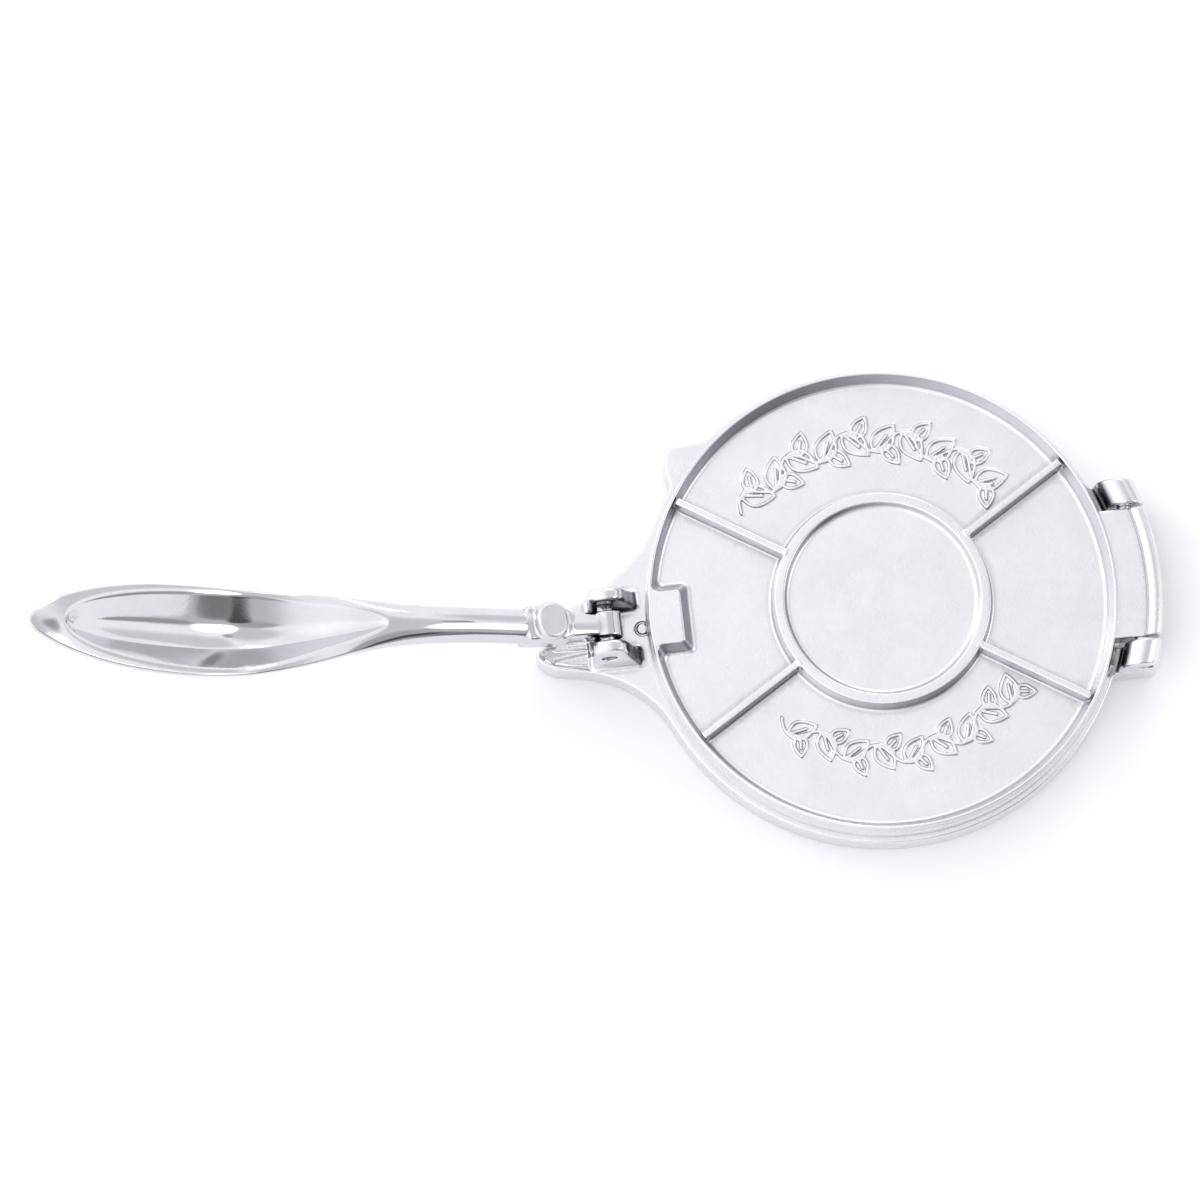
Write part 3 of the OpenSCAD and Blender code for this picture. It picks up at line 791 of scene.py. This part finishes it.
def cast_metal(name, dark, light, r0, r1, grain, wave, corner_shade_colour=None, shut=0.0, polish=None, wall=None, face=None, deep=(0.18, 0.62), box_shade=None):
    """Tumbled or polished aluminium: cloudy tone, cloudy roughness, fine grain and slow waves, and shade painted into
    the colour.
    corner_shade_colour: colour of the painted shade in corners and gaps, shut: how strongly; polish: (z from, z to,
    roughness);
    wall: (tone, radius in metres) of painted shade on steep faces inside the radius, strongest on faces turned towards
    +X;
    face: (point, radius, roughness) of a rubbed spot; deep: how shut in a corner is where the painted shade starts and
    is full;
    box_shade: (tone, boxes in metres) of painted shade on steep faces in the boxes, all of them or those that face this
    way along X."""
    m = Nodes(name)
    cloud = m.noise(55, 4, 0.6)
    fine = m.noise(420, 3, 0.6)
    mixed = m.math("ADD", m.math("MULTIPLY", cloud, 0.65), m.math("MULTIPLY", fine, 0.35))
    tone = m.ramp(mixed, [(0.32, dark), (0.68, light)])
    # painted shade: steep faces inside the radius are darkened towards the wall tone, most on faces turned towards +X
    if wall:
        shade_tone, reach = wall
        sep = m.t.nodes.new("ShaderNodeSeparateXYZ")
        m.link(m.t.nodes.new("ShaderNodeTexCoord").outputs["Normal"], sep.inputs[0])
        steep = m.span(m.math("ABSOLUTE", sep.outputs["Z"], 0.0), 0.80, 0.50, 0.0, 1.0)
        flat = m.t.nodes.new("ShaderNodeVectorMath")
        flat.operation = "LENGTH"
        m.link(m.stretch(1, 1, 0), flat.inputs[0])
        inside = m.span(flat.outputs["Value"], reach, reach + 0.0004, 1.0, 0.0)
        mix = m.t.nodes.new("ShaderNodeMix")
        mix.data_type = "RGBA"
        side = m.span(sep.outputs["X"], -0.7, 0.4, 0.2, 1.0)
        m.link(m.math("MULTIPLY", m.math("MULTIPLY", steep, inside), side), mix.inputs["Factor"])
        m.link(tone, mix.inputs["A"])
        mix.inputs["B"].default_value = (*shade_tone, 1)
        tone = mix.outputs["Result"]
    # painted shade: steep faces inside each box, or only those facing the given way along X, are darkened to the shade
    # tone
    if box_shade:
        shade_tone, boxes = box_shade
        sep = m.t.nodes.new("ShaderNodeSeparateXYZ")
        m.link(m.t.nodes.new("ShaderNodeTexCoord").outputs["Normal"], sep.inputs[0])
        steep = m.span(m.math("ABSOLUTE", sep.outputs["Z"], 0.0), 0.86, 0.66, 0.0, 1.0)
        at = m.t.nodes.new("ShaderNodeSeparateXYZ")
        m.link(m.co, at.inputs[0])
        y = m.math("ABSOLUTE", at.outputs["Y"], 0.0)
        for x0, x1, y0, y1, facing in boxes:
            k = steep
            if facing:
                k = m.math("MULTIPLY", steep, m.span(m.math("MULTIPLY", sep.outputs["X"], facing), 0.15, 0.40, 0.0, 1.0))
            for v, lo, hi in ((at.outputs["X"], x0, x1), (y, y0, y1)):
                k = m.math("MULTIPLY", k, m.span(v, lo - 0.0004, lo, 0.0, 1.0))
                k = m.math("MULTIPLY", k, m.span(v, hi, hi + 0.0004, 1.0, 0.0))
            mix = m.t.nodes.new("ShaderNodeMix")
            mix.data_type = "RGBA"
            m.link(k, mix.inputs["Factor"])
            m.link(tone, mix.inputs["A"])
            mix.inputs["B"].default_value = (*shade_tone, 1)
            tone = mix.outputs["Result"]
    # painted shade: corners and gaps are darkened towards the shade colour by how shut in they are, mottled by noise
    if corner_shade_colour:
        at = m.t.nodes.new("ShaderNodeAttribute")
        at.attribute_name = "shade_in_corners"
        deep = m.math("MULTIPLY", m.span(at.outputs["Fac"], *deep, 0.0, shut), m.span(m.noise(240, 3), 0.3, 0.7, 0.75, 1.0))
        mix = m.t.nodes.new("ShaderNodeMix")
        mix.data_type = "RGBA"
        m.link(deep, mix.inputs["Factor"])
        m.link(tone, mix.inputs["A"])
        mix.inputs["B"].default_value = (*corner_shade_colour, 1)
        tone = mix.outputs["Result"]
    m.link(tone, m.bsdf.inputs["Base Color"])
    m.bsdf.inputs["Metallic"].default_value = 1.0
    rough = m.span(m.noise(130, 4, 0.65), 0.3, 0.7, r0, r1)
    if polish:
        z0, z1, value = polish
        sep = m.t.nodes.new("ShaderNodeSeparateXYZ")
        m.link(m.co, sep.inputs[0])
        k = m.span(sep.outputs["Z"], z0, z1, 0.0, 1.0)
        mix = m.t.nodes.new("ShaderNodeMix")
        m.link(k, mix.inputs["Factor"])
        m.link(rough, mix.inputs["A"])
        m.link(m.span(m.noise(200, 3, 0.6), 0.3, 0.7, value * 0.7, value * 1.5), mix.inputs["B"])
        rough = mix.outputs["Result"]
    if face:
        where, radius, value = face
        d = m.t.nodes.new("ShaderNodeVectorMath")
        d.operation = "DISTANCE"
        m.link(m.co, d.inputs[0])
        d.inputs[1].default_value = where
        mix = m.t.nodes.new("ShaderNodeMix")
        m.link(m.span(d.outputs["Value"], radius, radius * 0.92, 0.0, 1.0), mix.inputs["Factor"])
        m.link(rough, mix.inputs["A"])
        m.link(m.span(m.noise(300, 3, 0.6), 0.3, 0.7, value * 0.8, value * 1.2), mix.inputs["B"])
        rough = mix.outputs["Result"]
    m.link(rough, m.bsdf.inputs["Roughness"])
    n = m.bump(m.noise(60, 2, 0.5), wave, 0.001)
    n = m.bump(m.noise(900, 3, 0.6), grain, 0.00025, n)
    m.link(n, m.bsdf.inputs["Normal"])
    return m.mat


# The dark tones below are painted shade: in corners and gaps of lid, base and lever, on the lid's inner rim walls, and
# in the base's fork, beside the lugs and behind the ears.
mat_lid = cast_metal("lid_cast_aluminium", (0.75, 0.75, 0.77), (0.82, 0.82, 0.84), 0.24, 0.36, 0.20, 0.06, (0.19, 0.19, 0.22), 0.62, (0.0214, 0.0220, 0.20), wall=((0.33, 0.33, 0.365), 0.0793))
mat_base = cast_metal("base_cast_aluminium", (0.74, 0.74, 0.76), (0.81, 0.81, 0.83), 0.20, 0.32, 0.24, 0.06, (0.045, 0.045, 0.055), 0.95, (0.0128, 0.0150, 0.10), deep=(0.14, 0.54),
    box_shade=((0.16, 0.16, 0.18), ((-0.1075, -0.0790, -1.0, 0.0078, 0), (0.0780, 0.0890, 0.0200, 0.0335, -1), (-0.0880, -0.0765, -1.0, 0.0128, 1))))
mat_lever = cast_metal("lever_polished_aluminium", (0.66, 0.66, 0.685), (0.72, 0.72, 0.74), 0.04, 0.10, 0.04, 0.06, (0.09, 0.09, 0.11), 0.8, face=((-0.1119, 0.0006, 0.0381), 0.0062, 0.34))
mat_pin = cast_metal("pin_turned_steel", (0.50, 0.50, 0.52), (0.64, 0.64, 0.66), 0.12, 0.24, 0.10, 0.05)
for ob, mat in ((lid, mat_lid), (base, mat_base), (lever, mat_lever), *((p, mat_pin) for p in pins)):
    ob.data.materials.clear()
    ob.data.materials.append(mat)

# ---------------------------------------------------------------- floor, light, camera
def plain(name, colour, rough):
    m = Nodes(name)
    m.link(m.ramp(m.noise(3, 2), [(0.3, tuple(c * 0.995 for c in colour)), (0.7, colour)]), m.bsdf.inputs["Base Color"])
    m.bsdf.inputs["Roughness"].default_value = rough
    m.bsdf.inputs["Specular IOR Level"].default_value = 0.2
    return m.mat


me = bpy.data.meshes.new("floor")
me.from_pydata([(-6, -6, 0), (6, -6, 0), (6, 6, 0), (-6, 6, 0)], [], [(0, 1, 2, 3)])
floor = bpy.data.objects.new("floor", me)
bpy.context.scene.collection.objects.link(floor)
me.materials.append(plain("pale_floor", (0.96, 0.96, 0.97), 0.7))
floor.location.z = -0.0002


def area(name, loc, target, w, h, watts, colour=(1, 1, 1)):
    d = bpy.data.lights.new(name, "AREA")
    d.shape = "RECTANGLE"
    d.size, d.size_y, d.energy, d.color = w, h, watts, colour
    o = bpy.data.objects.new(name, d)
    bpy.context.scene.collection.objects.link(o)
    o.location = loc
    o.rotation_mode = "QUATERNION"
    o.rotation_quaternion = (Vector(target) - Vector(loc)).to_track_quat("-Z", "Y")
    return o


area("window_left", (-1.3, 0.9, 1.0), (-0.05, 0, 0), 0.4, 0.5, 2.2)
area("window_far", (0.5, 1.6, 0.9), (0, 0, 0), 0.6, 0.4, 2.2)

# The studio round the object: a pale tent with darker gaps between its panels.
world = bpy.data.worlds.new("studio")
bpy.context.scene.world = world
world.use_nodes = True
wt = world.node_tree
bg = wt.nodes["Background"]
direction = wt.nodes.new("ShaderNodeTexCoord").outputs["Generated"]


def towards(around, down, near, away):
    """1 in the direction at this angle round from +X and this angle down from overhead,
    falling to 0 between the two angles from it, all in degrees."""
    p, q = math.radians(around), math.radians(down)
    dot = wt.nodes.new("ShaderNodeVectorMath")
    dot.operation = "DOT_PRODUCT"
    dot.inputs[1].default_value = (math.cos(p) * math.sin(q), math.sin(p) * math.sin(q), math.cos(q))
    wt.links.new(direction, dot.inputs[0])
    m = wt.nodes.new("ShaderNodeMapRange")
    m.interpolation_type = "SMOOTHSTEP"
    m.inputs["From Min"].default_value = math.cos(math.radians(away))
    m.inputs["From Max"].default_value = math.cos(math.radians(near))
    wt.links.new(dot.outputs["Value"], m.inputs["Value"])
    return m.outputs[0]


def blend(base, colour, fac):
    mix = wt.nodes.new("ShaderNodeMix")
    mix.data_type = "RGBA"
    wt.links.new(fac, mix.inputs["Factor"])
    if isinstance(base, tuple):
        mix.inputs["A"].default_value = (*base, 1)
    else:
        wt.links.new(base, mix.inputs["A"])
    mix.inputs["B"].default_value = (*colour, 1)
    return mix.outputs["Result"]


sky = (1.17, 1.175, 1.21)
for around, down, near, away, level in (
        (85, 14, 8, 34, 1.10),
        (180, 50, 20, 60, 1.40),
        (8, 32, 10, 30, 0.76),
        (30, 78, 8, 24, 0.80),
        (-52, 70, 22, 48, 0.64),
        (-57, 45, 8, 24, 0.48),
        (-14, 60, 12, 17, 2.20),
        (-56, 68, 5, 12, 0.10),
        (-52, 84, 4, 12, 0.25),
        (-20, 87, 6, 14, 0.42),
        (12, 55, 2, 7, 0.45)):
    sky = blend(sky, (level, level, level * 1.04), towards(around, down, near, away))
wt.links.new(sky, bg.inputs["Color"])
bg.inputs["Strength"].default_value = 1.0
bpy.context.scene.view_settings.view_transform = "Standard"

cam_data = bpy.data.cameras.new("camera")
cam = bpy.data.objects.new("camera", cam_data)
bpy.context.scene.collection.objects.link(cam)
bpy.context.scene.camera = cam
cam_data.sensor_width = 36
cam_data.lens = 132.75
cam_data.clip_start, cam_data.clip_end = 0.05, 50
a, e = math.radians(-6.1), math.radians(77)
back = Vector((math.sin(a) * math.cos(e), -math.cos(a) * math.cos(e), math.sin(e)))
right = Vector((math.cos(a), math.sin(a), 0))
up = back.cross(right)
cam.matrix_world = Matrix(((right.x, up.x, back.x, -0.131269), (right.y, up.y, back.y, -0.326183), (right.z, up.z, back.z, 1.483357), (0, 0, 0, 1)))
